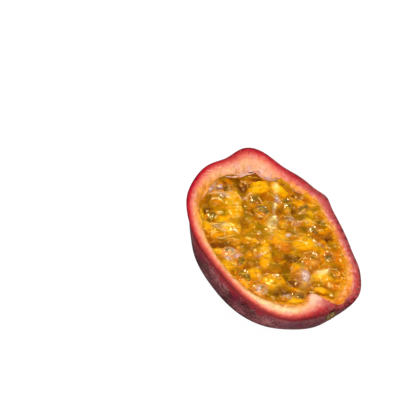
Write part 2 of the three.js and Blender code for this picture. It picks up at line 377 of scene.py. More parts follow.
class Shader:
    """Short ways to add nodes to a material or a world. Its colours are given as they look on screen."""

    def __init__(self, name, kind="materials", coordinates="Object"):
        self.owner = getattr(bpy.data, kind).new(name)
        self.owner.use_nodes = True
        self.tree = self.owner.node_tree
        self.tree.nodes.clear()
        self.place = self.add("TexCoord").outputs[coordinates]
        self.colour = None  # the colour so far, which coat() goes over

    def add(self, kind, inputs=None, **settings):
        node = self.tree.nodes.new("ShaderNode" + kind)
        for key, value in settings.items():
            setattr(node, key, value)
        for key, value in (inputs or {}).items():
            if isinstance(value, bpy.types.NodeSocket):
                self.tree.links.new(value, node.inputs[key])
            else:
                node.inputs[key].default_value = value
        return node

    def value(self, name):
        """The numbers that new_piece stored at the points under this name."""
        return self.add("Attribute", attribute_name=name).outputs["Fac"]

    def height(self):
        return self.add("SeparateXYZ", {0: self.place}).outputs["Z"]

    def noise(self, size_mm, detail=3, roughness=0.55, distortion=0, vector=None, output="Fac"):
        inputs = {
            "Vector": vector or self.place, "Scale": 1000 / size_mm, "Detail": detail,
            "Roughness": roughness, "Distortion": distortion,
        }
        return self.add("TexNoise", inputs).outputs[output]

    def cells(self, vector, size_mm, feature="F1"):
        inputs = {"Vector": vector, "Scale": 1000 / size_mm}
        return self.add("TexVoronoi", inputs, feature=feature).outputs

    def moved(self, vector, shift_mm=(0, 0, 0), stretch=(1, 1, 1), turn=0):
        """The same pattern, stretched, then turned about Z, then shifted."""
        shift = tuple(v * MM for v in shift_mm)
        turned = (0, 0, math.radians(turn))
        inputs = {"Vector": vector, "Location": shift, "Rotation": turned, "Scale": stretch}
        return self.add("Mapping", inputs, vector_type="TEXTURE").outputs[0]

    def warped(self, vector, size_mm, reach_mm):
        """The same places, pushed about by smooth noise."""
        push = self.noise(size_mm, 2, 0.5, output="Color")
        inputs = {0: push, 1: (reach_mm * MM,) * 3, 2: vector}
        return self.add("VectorMath", inputs, operation="MULTIPLY_ADD").outputs[0]

    def math(self, operation, value, *others):
        for other in others:
            value = self.add("Math", {0: value, 1: other}, operation=operation).outputs[0]
        return value

    def times(self, *values):
        return self.math("MULTIPLY", *values)

    def plus(self, *values):
        return self.math("ADD", *values)

    def minus(self, *values):
        return self.math("SUBTRACT", *values)

    def span(self, value, low, high, to_low=0, to_high=1, smooth=True):
        """The value carried from low..high over to to_low..to_high, and held at its ends."""
        kind = "SMOOTHSTEP" if smooth else "LINEAR"
        inputs = {"Value": value, "From Min": low, "From Max": high, "To Min": to_low, "To Max": to_high}
        return self.add("MapRange", inputs, interpolation_type=kind).outputs["Result"]

    def ramp(self, factor, *stops):
        node = self.add("ValToRGB", {"Fac": factor})
        elements = node.color_ramp.elements
        while len(elements) < len(stops):
            elements.new(0.5)
        for element, (position, colour) in zip(elements, stops):
            element.position = position
            element.color = linear(*colour)
        return node.outputs["Color"]

    def mix(self, factor, a, b):
        a, b = (linear(*c) if isinstance(c, tuple) else c for c in (a, b))
        return self.add("Mix", {0: factor, 6: a, 7: b}, data_type="RGBA").outputs[2]

    def coat(self, colour, *shares):
        """Lays a colour over the one so far, as strongly as the product of the shares."""
        self.colour = self.mix(self.times(*shares), self.colour, colour)

    def bump(self, height, depth_mm, normal=None):
        inputs = {"Height": height, "Distance": depth_mm * MM}
        if normal:
            inputs["Normal"] = normal
        return self.add("Bump", inputs).outputs["Normal"]

    def principled(self, soft=None, **inputs):
        """The main surface in the colour so far; soft is its subsurface weight, radii and scale in mm."""
        if soft:
            inputs["Subsurface_Weight"], inputs["Subsurface_Radius"] = soft[:2]
            inputs["Subsurface_Scale"] = soft[2] * MM
        named = {key.replace("_", " "): value for key, value in inputs.items()}
        return self.add("BsdfPrincipled", {"Base Color": self.colour, **named}).outputs[0]

    def finish(self, surface, output="OutputMaterial"):
        self.add(output, {"Surface": surface})
        return self.owner


# ---- materials
FLOW = 67  # the way most strands of pulp lie


def skin_material():
    """Waxy skin: crimson by the cut, then dusky maroon with brown and lilac patches and fine pale specks,
    with painted shade on its underside.
    """
    s = Shader("skin")
    hues = s.noise(9, 3, 0.5, 0.5)
    grain = s.noise(0.75, 4, 0.75)
    s.colour = s.ramp(
        s.plus(s.times(s.noise(7, 3, 0.5), 0.4), s.times(grain, 0.6)),
        (0.42, (62, 26, 28)), (0.475, (100, 46, 50)), (0.52, (132, 66, 70)), (0.58, (180, 112, 112)),
    )
    s.coat((142, 84, 98), s.span(hues, 0.52, 0.6, 0, 0.5))
    s.coat((106, 70, 64), s.span(hues, 0.46, 0.38, 0, 0.5))
    ragged = s.times(s.minus(s.noise(5, 4, 0.65), 0.5), 14.0)
    near_cut = s.span(s.plus(s.value("from_rim"), ragged), 4.0, 0.4, 0, 0.85)
    ashy = s.value("ashy")
    s.coat((170, 46, 52), near_cut, s.minus(1.0, ashy))
    s.coat((148, 100, 104), ashy, 0.4)
    s.coat((142, 40, 66), s.span(s.noise(6, 3, 0.5, 0.4), 0.58, 0.66, 0, 0.5))
    specks = s.cells(s.place, 1.0)
    s.coat((196, 140, 134), s.span(specks["Distance"], 0.36, 0.14), s.span(specks["Color"], 0.4, 0.7), 0.5)
    # Painted shade: the skin darkens towards the bottom, where it faces away from the lamps
    s.coat((50, 24, 28), s.span(s.height(), 15 * MM, 8.5 * MM, 0, 0.8))
    return s.finish(s.principled(
        (0.05, (1.0, 0.3, 0.2), 1), Roughness=s.span(s.noise(3), 0.3, 0.7, 0.32, 0.46),
        Normal=s.bump(grain, 0.1), Specular_IOR_Level=0.15,
    ))


def pith_material():
    """The cut rind: a dark skin line, a rosy band, salmon to cream pith, and juice at the cavity."""
    s = Shader("pith")
    inward, mottled = s.value("from_cavity"), s.value("mottled")
    ragged = s.times(s.minus(s.noise(1.6, 4, 0.6), 0.5), s.plus(1.0, mottled))
    spread = s.minus(1.0, s.times(s.value("blush"), 0.6))
    spread = s.minus(spread, s.times(mottled, 0.25))
    depth = s.times(s.plus(s.value("from_skin"), ragged), spread)
    reach = s.span(depth, 0, 4, smooth=False)
    warm = s.ramp(
        reach, (0.03, (112, 4, 20)), (0.09, (168, 10, 34)), (0.19, (198, 34, 46)),
        (0.33, (226, 98, 80)), (0.52, (242, 152, 98)), (0.9, (250, 180, 110)),
    )
    creamy = s.ramp(
        reach, (0.02, (150, 52, 54)), (0.08, (180, 66, 60)), (0.18, (212, 96, 76)),
        (0.32, (240, 144, 106)), (0.54, (254, 206, 150)), (0.9, (254, 222, 156)),
    )
    s.colour = s.mix(s.value("cream"), warm, creamy)
    # Flushed, washed out, muted and bruised pith
    blotch = s.noise(2.0, 4, 0.65)
    s.coat((190, 58, 62), mottled, s.span(reach, 0.8, 0.35), s.span(blotch, 0.58, 0.42, 0.3, 0.85))
    s.coat((236, 176, 162), mottled, s.span(reach, 0.18, 0.45), s.span(blotch, 0.5, 0.62, 0, 0.6))
    dull = s.span(s.noise(1.3, 4, 0.65), 0.4, 0.6, 0.2, 0.85)
    s.coat((172, 92, 86), mottled, s.span(reach, 0.5, 0.1), dull)
    bruised = s.span(s.noise(1.5), 0.44, 0.56, 0.1, 0.85)
    s.coat((88, 22, 30), mottled, s.span(depth, 0.9, 0.2), bruised)
    # Rosy flecks, a rosy wash, and raw red tears
    flecks = s.noise(2.4, 4, 0.6)
    s.coat((228, 150, 138), s.span(flecks, 0.48, 0.72, 0, 0.6), s.span(reach, 0.15, 0.4))
    rosy = s.mix(s.span(flecks, 0.42, 0.6), (250, 206, 178), (244, 184, 182))
    s.coat(rosy, s.value("rosy"), s.span(reach, 0.35, 0.7, 0, 0.85))
    s.coat((184, 46, 30), s.value("raw"), s.span(s.noise(1.7), 0.46, 0.58), s.span(reach, 0.2, 0.4))
    # Juice that soaks the inner edge, and the pale side under the lip
    edge = s.plus(inward, s.times(s.minus(s.noise(2.0), 0.5), 2.8))
    amber = s.mix(s.span(s.noise(1.8), 0.4, 0.6), (218, 122, 10), (244, 160, 40))
    s.coat(amber, s.span(s.minus(edge, s.value("soaked")), 1.2, -0.7), 0.9)
    pale = s.mix(s.span(s.noise(1.9), 0.4, 0.62), (232, 176, 140), (226, 182, 186))
    s.coat(pale, s.span(inward, -0.6, -3.2), 0.8)
    wet = s.span(s.noise(1.4), 0.35, 0.65, 0.12, 0.42)
    return s.finish(s.principled(
        (s.span(inward, 0.0, 1.5, 0.03, 0.3), (1.0, 0.5, 0.3), 1),
        Roughness=s.plus(wet, s.span(reach, 0.4, 0.1, 0, 0.25)),
        Normal=s.bump(s.noise(2.0), 0.7, s.bump(s.noise(0.7, 4, 0.65), 0.25)),
        Specular_IOR_Level=s.span(reach, 0.15, 0.4, 0.04, 0.4),
    ))


def jelly_material():
    """The wet mass of pulp: long sacs pressed together, golden and amber, olive over a seed, with painted
    shade in its low places and seams and painted highlights on it.
    """
    s = Shader("jelly")
    grain = s.moved(s.place, stretch=(2.2, 1, 1), turn=FLOW)
    pressed = s.warped(grain, 5, 4)
    sacs = s.cells(pressed, 2.6)
    bits = s.cells(s.warped(grain, 2, 1.2), 1.0)
    streak = s.noise(1.0, 4, 0.6, 0.6, vector=grain)
    tint, light, rim = s.value("tint"), s.value("light"), s.value("edge")
    broken = s.minus(1.0, s.span(tint, 0.7, 0.9))  # where no smooth whole sac lies on top
    tone = s.plus(s.times(tint, 0.5), s.times(sacs["Color"], 0.16))
    tone = s.plus(tone, s.times(bits["Color"], 0.08), s.times(streak, 0.26))
    s.colour = s.ramp(
        tone, (0.3, (184, 102, 0)), (0.42, (212, 130, 0)), (0.52, (232, 150, 0)), (0.64, (246, 168, 0)),
        (0.82, (255, 190, 0)),
    )
    # Painted shade: darker amber where the mass lies low, between its lumps and under the torn lip
    s.coat((172, 88, 4), s.span(s.value("rise"), 0.2, -0.9, 0, 0.75))
    s.coat((184, 142, 0), s.span(s.noise(4.4, 3, 0.5, 0.6), 0.52, 0.6, 0, 0.5), broken)
    s.coat((220, 108, 8), s.value("amber"), 0.65)
    s.coat((128, 84, 0), s.value("shadow"), 0.65)
    s.coat((255, 190, 4), light, 0.45)
    # Painted highlight: fine pale-yellow glints over the golden lumps
    s.coat((255, 228, 120), light, s.span(s.noise(0.9, 4, 0.65), 0.55, 0.68, 0, 0.7))
    s.coat((112, 88, 0), s.value("seed_below"), 0.6)
    # Painted shade: deep brown in the dents between the sacs
    s.coat((124, 58, 14), s.value("gap"), 0.8)
    # Pale streaks where a milky sac lies: partly milky pulp, partly a painted sheen
    s.coat((250, 206, 130), s.value("milk"), s.span(streak, 0.4, 0.62), 0.7)
    s.coat((242, 160, 34), rim, 0.7)
    # Painted highlight: lilac-white washes, also round the bubbles
    s.coat((226, 184, 150), s.value("lilac"), s.span(streak, 0.36, 0.56, 0.2, 0.75))
    # Painted highlight: pale streaks
    s.coat((254, 232, 160), s.value("pale"), s.span(streak, 0.36, 0.56, 0.15, 0.85))
    # Painted shade in the seams between the pressed sacs, and a painted highlight along one side of some
    busy = s.times(s.span(s.noise(5, 2), 0.46, 0.6), broken)
    seam_shade = s.span(s.cells(pressed, 2.6, "DISTANCE_TO_EDGE")["Distance"], 0.12, 0.02)
    s.coat((150, 82, 0), seam_shade, busy, 0.4)
    beside = s.moved(pressed, shift_mm=(0.1, 0.28, 0))
    lit = s.span(s.cells(beside, 2.6, "DISTANCE_TO_EDGE")["Distance"], 0.07, 0.0)
    s.coat((255, 216, 120), lit, s.span(s.noise(2.4, 2), 0.5, 0.6), busy, 0.6)
    # Fine streaks along the pulp: darker ones, and golden ones that are partly a painted highlight
    fibre = s.noise(0.7, 3, 0.6, 0.5, vector=s.moved(s.place, stretch=(4.5, 1, 1), turn=FLOW))
    s.coat((164, 96, 0), s.span(fibre, 0.46, 0.34, 0, 0.5))
    s.coat((252, 196, 30), s.span(fibre, 0.56, 0.68, 0, 0.4))
    crowned = s.times(s.math("POWER", sacs["Distance"], 2.0), -1.0)
    return s.finish(s.principled(
        (s.span(rim, 0.1, 0.8, 0.8, 0.1), (1.0, 0.75, 0.1), 1.6),
        Roughness=0.05, Normal=s.bump(crowned, 0.7), IOR=1.4, Specular_Tint=(1.0, 0.8, 0.3, 1),
    ))


def sac_material():
    """Clear juice sacs over the seeds: glossy, with milky streaks along them that are partly a painted
    sheen, lilac-white bubbles painted as highlights, and clear at their outline.
    """
    s = Shader("juice_sac")
    grain = s.moved(s.place, stretch=(2.5, 1, 1), turn=FLOW)
    streak = s.noise(1.1, 4, 0.6, 0.8, vector=grain)
    # Milky sacs paler: partly milky juice, partly a painted sheen
    s.colour = s.mix(s.value("milk"), (255, 186, 30), (255, 218, 150))
    # Painted highlight: the bubbles lilac-white
    s.coat((240, 222, 222), s.value("lilac"))
    normal = s.bump(s.noise(1.8, 2, 0.5, 0.4), 0.4)
    flesh = s.principled(Roughness=0.1, Normal=normal, IOR=1.37)
    through = s.add("BsdfTransparent", {"Color": linear(255, 226, 124)}).outputs[0]
    turned = s.add("LayerWeight", {"Blend": 0.5}).outputs["Facing"]
    shown = s.times(s.value("clear"), s.span(streak, 0.46, 0.62, 1.1, 0.55))
    shown = s.times(shown, s.span(turned, 0.4, 0.75, 1.0, 0.5))
    shown = s.math("MAXIMUM", shown, s.span(turned, 0.78, 0.95))
    body = s.add("MixShader", {0: shown, 1: flesh, 2: through}).outputs[0]
    gloss = {"Color": (1.0, 0.87, 0.56, 1), "Roughness": 0.08, "Normal": normal}
    shine = s.add("BsdfGlossy", gloss).outputs[0]
    rim = s.add("Fresnel", {"IOR": 1.55, "Normal": normal}).outputs[0]
    shiny = s.times(s.math("MINIMUM", rim, 0.14), s.span(turned, 0.95, 0.8))
    return s.finish(s.add("MixShader", {0: shiny, 1: body, 2: shine}).outputs[0])


def fibre_material():
    """Pale threads of the sacs' stalks and torn membrane, some of them pale as painted highlights along
    sacs' rims.
    """
    s = Shader("fibre")
    s.colour = s.ramp(s.noise(2), (0.35, (236, 168, 44)), (0.65, (246, 198, 106)))
    soft = (0.4, (1.0, 0.6, 0.3), 0.6)
    return s.finish(s.principled(soft, Roughness=0.42, Specular_Tint=(1.0, 0.88, 0.6, 1)))


def seed_material():
    """Dark olive seeds with a pitted coat."""
    s = Shader("seed")
    tone = s.plus(s.times(s.value("tint"), 0.6), s.times(s.noise(1.2), 0.4))
    pits = s.span(s.cells(s.place, 5 / 9)["Distance"], 0.1, 0.5)
    s.colour = s.ramp(tone, (0.2, (64, 50, 6)), (0.5, (98, 84, 18)), (0.8, (140, 126, 48)))
    return s.finish(s.principled(
        Roughness=0.3, Normal=s.bump(pits, 0.08), Coat_Weight=0.3, Coat_Roughness=0.08,
    ))


def membrane_material():
    """Moist torn pith, pinkish white."""
    s = Shader("membrane")
    s.colour = s.ramp(s.noise(1.8), (0.35, (228, 146, 104)), (0.6, (242, 188, 164)))
    soft = (0.4, (1.0, 0.6, 0.4), 0.8)
    return s.finish(s.principled(soft, Roughness=0.36, Normal=s.bump(s.noise(0.8), 0.2)))


def stalk_material():
    """Dry olive-brown wood with fibres along it."""
    s = Shader("stalk_wood")
    grain = s.noise(0.7, 4, 0.6, vector=s.moved(s.place, stretch=(4, 1, 1)))
    s.colour = s.ramp(grain, (0.3, (58, 38, 16)), (0.5, (112, 84, 40)), (0.7, (158, 126, 72)))
    return s.finish(s.principled(Roughness=0.75, Normal=s.bump(grain, 0.25)))


SKIN, PITH, JELLY, SAC = skin_material(), pith_material(), jelly_material(), sac_material()
FIBRE, SEED, MEMBRANE, WOOD = fibre_material(), seed_material(), membrane_material(), stalk_material()


# ---- rind
RIND_SEGMENTS = 480
FOOT_SHARES = (0, 0.5, 0.9)
SKIN_RINGS, CORNER_RINGS, CUT_RINGS, SKIRT_RINGS, CAVITY_RINGS = 64, 8, 22, 16, 16
OUTSIDE_RINGS = len(FOOT_SHARES) + SKIN_RINGS
CORNER = 0.4  # radius of the cut's outer edge
# Distances that stand for a whole surface: on the skin, off the cavity's edge, in the cavity
ON_SKIN, OFF_CAVITY, IN_CAVITY = -1, 9, 6
# Where the rind's looks change: angle from the stalk, strength, spread
RIND_LOOKS = {
    "blush": [(163, 0.9, 22), (75, 0.4, 38), (125, 0.5, 18), (3, 0.6, 16), (258, 0.3, 26), (206, 0.3, 16)],
    "cream": [(296, 1, 26), (330, 0.7, 10), (172, 0.35, 12), (262, 0.35, 20)],
    "mottled": [(42, 1.1, 26), (95, 0.9, 22), (10, 0.6, 10)],
    "raw": [(117, 1.2, 7), (9, 0.8, 6)],
    "ashy": [(352, 0.8, 16)],
    "rosy": [(358, 1, 5), (160, 0.3, 20)],
    "soaked": [
        (180, 0.4, 200), (16, 2.3, 14), (50, 0.7, 20), (205, 0.5, 14), (335, 0.9, 9), (232, 0.6, 12),
        (160, -2.4, 24), (359, -2, 4),
    ],
}


def rind_rings(angle):
    """Rings from the foot over skin, cut and lip into the cavity, and how deep in the rind each lies."""
    rings, depths, inwards = [], [], []

    def ring(reach, height, depth, inward):
        rings.append(ring_points(reach, angle, height))
        depths.append(depth + 0 * angle)
        inwards.append(inward + 0 * angle)

    rim, width, lip = rim_height(angle), wall(angle), skirt(angle)
    foot, _ = skin(angle, REST_DOWN)
    for share in FOOT_SHARES:
        ring(foot * share, -REST_HEIGHT, ON_SKIN, OFF_CAVITY)
    for down in np.linspace(REST_DOWN, 3, SKIN_RINGS):
        ring(*skin(angle, down), ON_SKIN, OFF_CAVITY)
    for turn in np.linspace(10, 90, CORNER_RINGS):
        reach = outline(angle) - CORNER + CORNER * cosine(turn)
        ring(reach, rim - CORNER + CORNER * sine(turn), CORNER * turn / 90, OFF_CAVITY)
    for share in np.linspace(0.2, 1, CUT_RINGS):
        across = CORNER + (width - CORNER) * share
        dip = -SKIRT_DROP * share**3 + 0.12 * np.sin(np.pi * share)
        ring(outline(angle) - across, rim + dip, across, width - across)
    for share in np.linspace(0.1, 1, SKIRT_RINGS):
        ring(ring_edge(angle) - share * lip, skirt_height(angle, share), width + share * lip, -share * lip)
    for share in np.linspace(0, 1, CAVITY_RINGS):
        ring(*cavity(angle, share), IN_CAVITY, -4 - 6 * share)
    return np.stack(rings), np.stack(depths), np.stack(inwards)


def roughen_rind(points, depth, inward):
    """Lumps on the cut, tears along the lip, and a faint waviness of the skin."""
    cut = (depth > CORNER - 0.05) & (inward > -4)
    lump = relief(points, (3.2, 0.28, 1), (1.1, 0.12, 2))
    points[..., 2] += np.where(cut, lump * np.clip(depth, 0, 1.5) / 1.5, 0)
    torn = held(-inward / 1.5) * cut
    points[..., 2] += torn * relief(points, (2.4, 1.0, 3), (0.9, 0.3, 15))
    outside = np.arange(len(points)) < OUTSIDE_RINGS
    wavy = 1 + outside[:, None] * wobble(points, 9, 4) * 0.004
    above_foot = points[..., 2] > -REST_HEIGHT + 0.01
    points[..., :2] *= np.where(above_foot, wavy, 1)[..., None]


def build_rind():
    angle = all_round(RIND_SEGMENTS)
    points, depth, inward = rind_rings(angle)
    values = {"from_skin": depth, "from_cavity": inward, "from_rim": rim_height(angle) - points[..., 2]}
    for key, items in RIND_LOOKS.items():
        strength = bulge(items, angle)
        if key in ("cream", "mottled"):
            strength = held(strength)
        values[key] = np.broadcast_to(strength, depth.shape)
    roughen_rind(points, depth, inward)
    faces = ring_faces(len(points), RIND_SEGMENTS)
    material_index = np.ones(len(faces), np.int32)
    material_index[: (OUTSIDE_RINGS - 1) * RIND_SEGMENTS] = 0
    rind = new_piece("rind_shell", points, faces, [SKIN, PITH], values, material_index)
    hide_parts("rind")


# ---- pulp
BED_SEGMENTS, BED_RINGS, UNDER_RINGS = 560, 140, 14
LUMP_SINK = 0.9  # how deep the middle of an aril without lift lies
FUSE = 2.0  # per mm: how sharply one lump of pulp passes into the next
CRUMBS, CRUMB_ROOM = 60, 0.6  # small lumps of pulp between the sacs
THREADS = 4  # besides those that stand out
DROPS = 26  # beads of juice anywhere
EDGE_BEADS = 18  # small beads along the ring, beside the stalk
SAC_SIZE, SEED_SIZE = (6.4, 4.6, 3.4), (4.6, 3.1, 1.9)

Aril = namedtuple("Aril", "x y heading size pitch lift look tint")
# How the arils that stand out look, in the order of SHOWN_ARILS
SHOWN_LOOKS = (
    "bright bright clear clear clear clear pulp clear pulp clear milky clear milky pulp pulp "
    "pulp pulp pulp pulp pulp"
).split()
MASS_LOOKS = ("pulp", "bright")  # those that are lumps of the mass, with no sac of their own

# Soft-edged ovals on the mass: x, y, heading, half length, half width
WASHES = [  # painted highlight: lilac-white washes
    (-24, -6.4, 67, 2.2, 2), (-21.9, -4.6, 67, 1.8, 1), (-1.2, 9.4, 43, 1.9, 0.9),
    (-16.7, 0.2, 62, 2, 0.8), (-9.4, -15.6, 43, 2.6, 0.8), (-20.6, -7.4, 59, 3.8, 0.6),
    (-7.4, 5.8, 336, 1.7, 0.6), (20.8, -9, 66, 2.2, 0.9), (4.6, -8.6, 80, 1.6, 0.6),
    (9.6, 12.6, 60, 1.8, 0.6),
]
SHADED_GAPS = [  # painted shade: deep brown in the dents between the sacs
    (-17.1, -13.6, 67, 1.7, 1.5), (-4.6, -18.4, 67, 4.4, 1.2), (9.8, 2, 67, 2.6, 1.4),
    (16.7, -3.2, 67, 2.2, 1.9), (23, -1.1, 67, 1.9, 1.3), (-20.6, 3.8, 67, 2.6, 1.9),
    (-21.5, 9.5, 67, 2.2, 1.8), (8.6, 17.7, 143, 2.2, 1.6), (18.6, -10.6, 67, 2.6, 1.4),
    (-9.2, 16.9, 67, 2.2, 0.9),
]
LIGHTS = [  # broad golden lumps
    (-14.3, -6, 143, 7, 3), (-7.5, -11.5, 67, 3.2, 2.6), (-12.5, -18.6, 67, 2.1, 1.5),
    (-2.7, -20.5, 67, 2.1, 1.6), (4.6, -6.5, 143, 5.2, 2), (7.2, 8, 67, 4.3, 2.3),
    (9.5, -14.4, 67, 2.5, 2.1), (14.8, -10.6, 67, 3.9, 3.2), (19.8, 5.5, 67, 3.4, 2.1),
    (0.8, 14.6, 67, 2.2, 1.9), (-4.6, 18.8, 67, 2.6, 1.2), (11, -19.2, 67, 2.6, 2),
    (3.1, -20.4, 67, 2.4, 2), (23.6, -7.4, 67, 2.8, 1.3), (1.7, 1.8, 143, 3, 2.4),
    (-17.5, -2.7, 67, 3, 1.9), (-16.6, -17, 143, 2.6, 0.8),
]
SHADOWS = [  # painted shade: olive-brown, where hollows lie
    (-14.5, 4.5, 67, 1.8, 1.6), (-10.3, 0.2, 67, 2.1, 1.5), (-5.9, 12.3, 67, 2.7, 2.2),
    (-8.2, -6.3, 143, 2.8, 1.5), (0.2, -10.9, 67, 2.8, 2.1), (-0.7, -5, 67, 1.5, 1.4),
    (11.4, -3.7, 67, 2.5, 2.1), (19, -10.3, 67, 3, 1.9), (3.1, 12, 67, 2.2, 1.5),
    (-2.3, 13.9, 67, 2.1, 1.5), (2.6, 17.9, 67, 1.8, 1.5), (-20.6, -11.2, 67, 1.6, 1.5),
    (-6.8, 9.1, 67, 2, 1.3), (9.5, 1.6, 67, 3, 1.9), (21.3, 9.2, 67, 1.6, 1.2),
]
PALES = [  # painted highlight: pale streaks
    (-3.2, 2, 127, 3.9, 1.5), (18.5, 7.2, 67, 2, 1), (-15, 12.2, 143, 1.8, 1),
    (-8.9, 7.2, 143, 1.4, 0.6), (-9.8, -13.2, 67, 1.5, 1),
]
AMBERS = [  # amber juice
    (-7.6, 18.3, 50, 2.6, 1.3), (0.2, -10.9, 67, 2.2, 1.5), (-0.7, -5, 67, 1.4, 1.2),
    (-8.2, -6.3, 143, 2.4, 1.2), (14, 17.4, 143, 6, 1.6), (24.6, 7.4, 67, 3.4, 1.8),
    (5.7, 1.4, 67, 2.8, 1.8), (20.5, 12.8, 110, 3.8, 2),
]
# Glassy bubbles of juice, lilac-white as a painted highlight: x, y, heading, length, width
BUBBLES = [
    (17.2, 0.9, 144, 4.4, 2.6), (-0.7, -16.7, 60, 2, 1.7), (0.9, -19, 7, 2.6, 1.3),
    (2.3, -16.4, 120, 2.6, 2), (15, -17.1, 100, 2, 1.8), (-21.7, -2.2, 145, 3, 1.1),
    (-10.8, 9.9, 336, 2.6, 1), (2.4, 4.4, 89, 1.8, 0.9), (-23.2, -5, 100, 2.4, 1.8),
    (-23.9, -8.9, 80, 2.2, 1.6),
]
# Pale threads that stand out, some of them pale as painted highlight lines: where each starts, heading,
# length, bend, thickness
SHOWN_THREADS = [
    (-6.8, -18.6, 67, 6.4, 12, 0.12), (-15.6, 4.6, 20, 4.6, -56, 0.2), (-8.2, -0.1, 55, 1.8, 0, 0.3),
    (-3.4, -1.2, 108, 5.6, 14, 0.2), (-5.4, 0, 118, 4.6, 10, 0.13), (-4.4, -0.6, 114, 4.6, -8, 0.12),
    (11.6, 0.9, 94, 4.1, 20, 0.13), (13.1, 3.4, 89, 5, -24, 0.26), (15.4, -5.3, 7, 3.4, 0, 0.14),
    (17.5, 3.3, 322, 2.3, 10, 0.12), (14.3, 8.3, 350, 2, 200, 0.13), (-0.2, -19.2, 7, 3, 60, 0.2),
    (3.3, -22.6, 67, 2.7, 0, 0.14), (4.5, -18.5, 88, 4, 20, 0.18), (-22.4, -10.6, 59, 5.2, 10, 0.14),
    (-12.2, -18, 43, 4.5, -20, 0.12), (-14.6, -12.6, 340, 3.6, -120, 0.2), (-11.7, -18, 72, 4.6, 8, 0.2),
    (-10, -18, 63, 5.1, -10, 0.18), (-7.4, -18.6, 60, 5.7, 6, 0.15), (-5.3, -16.4, 63, 5.4, -8, 0.12),
    (2.6, 4.6, 58, 4.8, 8, 0.16), (4.1, 5.2, 49, 4.8, -6, 0.12), (-0.9, 17.3, 100, 3.7, 0, 0.14),
    (3.8, 1.5, 67, 4.6, 10, 0.12),
]
# Smooth juice over the lumps: x, y, depth, spread
FILMS = [
    (21, 11.5, 1.5, 3.2), (15.5, 15.5, 0.9, 2.6), (-13.5, -9.5, 0.8, 2.6), (5.5, 12.5, 0.6, 2.6),
]
# Where juice runs over the ring: angle, how far, spread
OVERLAPS = [(24, 1.5, 12), (52, 0.8, 14), (90, 0.5, 14), (228, 0.7, 18)]
WHOLE_LIP = [(146, 0.55, 4)]  # where the long lip of pith lies on the mass: angle, share, spread
# Cords along the torn lip: from and to angle, how far beyond it, thickness, seed
STRANDS = [(138, 176, 0.1, 0.44, 21), (154, 184, 0.7, 0.3, 22)]


def choose_looks(placed):
    """The arils with a look and a tint each. Where the photo shows none, a few are clear or milky."""
    draw = Draw(77)
    arils = []
    for index, place in enumerate(placed):
        look = ("pulp", "clear", "milky")[int((draw() > 0.96) + (draw() > 0.95))]
        tint = 0.15 + 0.5 * draw()
        if index < len(SHOWN_LOOKS):
            look = SHOWN_LOOKS[index]
        arils.append(Aril(*place, look, 1.0 if look == "bright" else tint))
    return arils


def pulp_lumps(arils):
    """Every lump of the mass: x, y, z, heading, half length, half width, half height, tint."""
    draw = Draw(5)
    lumps = []
    for index, a in enumerate(arils):
        heading = a.heading if index < len(SHOWN_ARILS) else FLOW + 0.3 * turn_between(a.heading, FLOW)
        z = float(bed_height(a.x, a.y)) + a.lift * ARIL_LIFT - LUMP_SINK
        lumps.append((a.x, a.y, z, heading, *(0.5 * a.size * side for side in ARIL), a.tint))
    for x, y, heading, length, width in LIGHTS:
        lumps.append((x, y, float(bed_height(x, y)) + 0.3, heading, length, width, 0.9, 0.8))
    for _ in range(CRUMBS):
        x, y = random_spot(draw, CRUMB_ROOM)
        length = 1.1 + 1.9 * draw()
        z = float(bed_height(x, y)) + draw()
        heading = FLOW + 80 * (draw() - 0.5)
        width = length * (0.3 + 0.3 * draw())
        lumps.append((x, y, z, heading, length, width, 0.7 + 0.6 * draw(), draw()))
    return lumps


def overlap(angle):
    """How far the juice runs over the ring's edge."""
    return bulge(OVERLAPS, angle) * (1 + 0.6 * wobble(flat_points(angle / 6, 0 * angle), 1, 25))


def under_skirt(x, y, room):
    """How high the mass may reach: it stays under the torn lip of pith, and is free in front of it."""
    angle = angle_of(x, y)
    lip = skirt(angle)
    top = skirt_height(angle, held(room / lip))
    torn = held((lip - 0.9) / 0.9) * (1 - bulge(WHOLE_LIP, angle))
    wet = np.clip(overlap(angle), 0, 0.6)
    uneven = 0.16 * wobble(flat_points(x, y), 2.2, 26)
    return top + 0.06 + uneven - 0.86 * torn + wet + (2.2 - 0.8 * torn) * np.clip(room - lip, 0, None)


def across_oval(dx, dy, heading, length, width):
    """A place along and across an oval, as shares of its length and width."""
    along = (dx * cosine(heading) + dy * sine(heading)) / length
    across = (dy * cosine(heading) - dx * sine(heading)) / width
    return along, across


def pulp_surface(x, y, room, lumps):
    """The mass's height, its tint, and how far it rises above the jelly around it."""
    flat = flat_points(x, y)
    warped_x = x + 0.9 * wobble(flat, 3, 11) + 0.25 * wobble(flat, 1.2, 13)
    warped_y = y + 0.9 * wobble(flat, 3, 12) + 0.25 * wobble(flat, 1.2, 14)
    # A soft maximum over the jelly and every lump
    weight = np.exp(FUSE * (bed_height(x, y) + 0.5 + mounds(FILMS, x, y)))
    total, tints = weight.copy(), weight * 0.3
    for cx, cy, cz, heading, length, width, high, tint in lumps:
        u, v = across_oval(warped_x - cx, warped_y - cy, heading, length, width)
        inside = 1 - u**2 - v**2
        top = cz + high * np.where(inside > 0, np.sqrt(np.abs(inside)), -2.5 * np.abs(inside))
        weight = np.exp(FUSE * np.maximum(top, -30))
        total += weight
        tints += weight * tint
    height = np.log(total) / FUSE
    fold = held(1 - 8 * np.abs(wobble(flat_points(warped_x, warped_y), 3.6, 16)))
    height = height + 0.14 * fold + 0.1 * wobble(flat, 2, 6)
    climb = 1.3 + 1.2 * held(overlap(angle_of(x, y)))
    height = np.minimum(height + climb * np.exp(-np.maximum(room, 0) / 0.9), under_skirt(x, y, room))
    return height, tints / total, height - bed_height(x, y) - 1.2


def surface_at(x, y, lumps):
    return pulp_surface(np.array([x]), np.array([y]), room_at(x, y), lumps)[0][0]


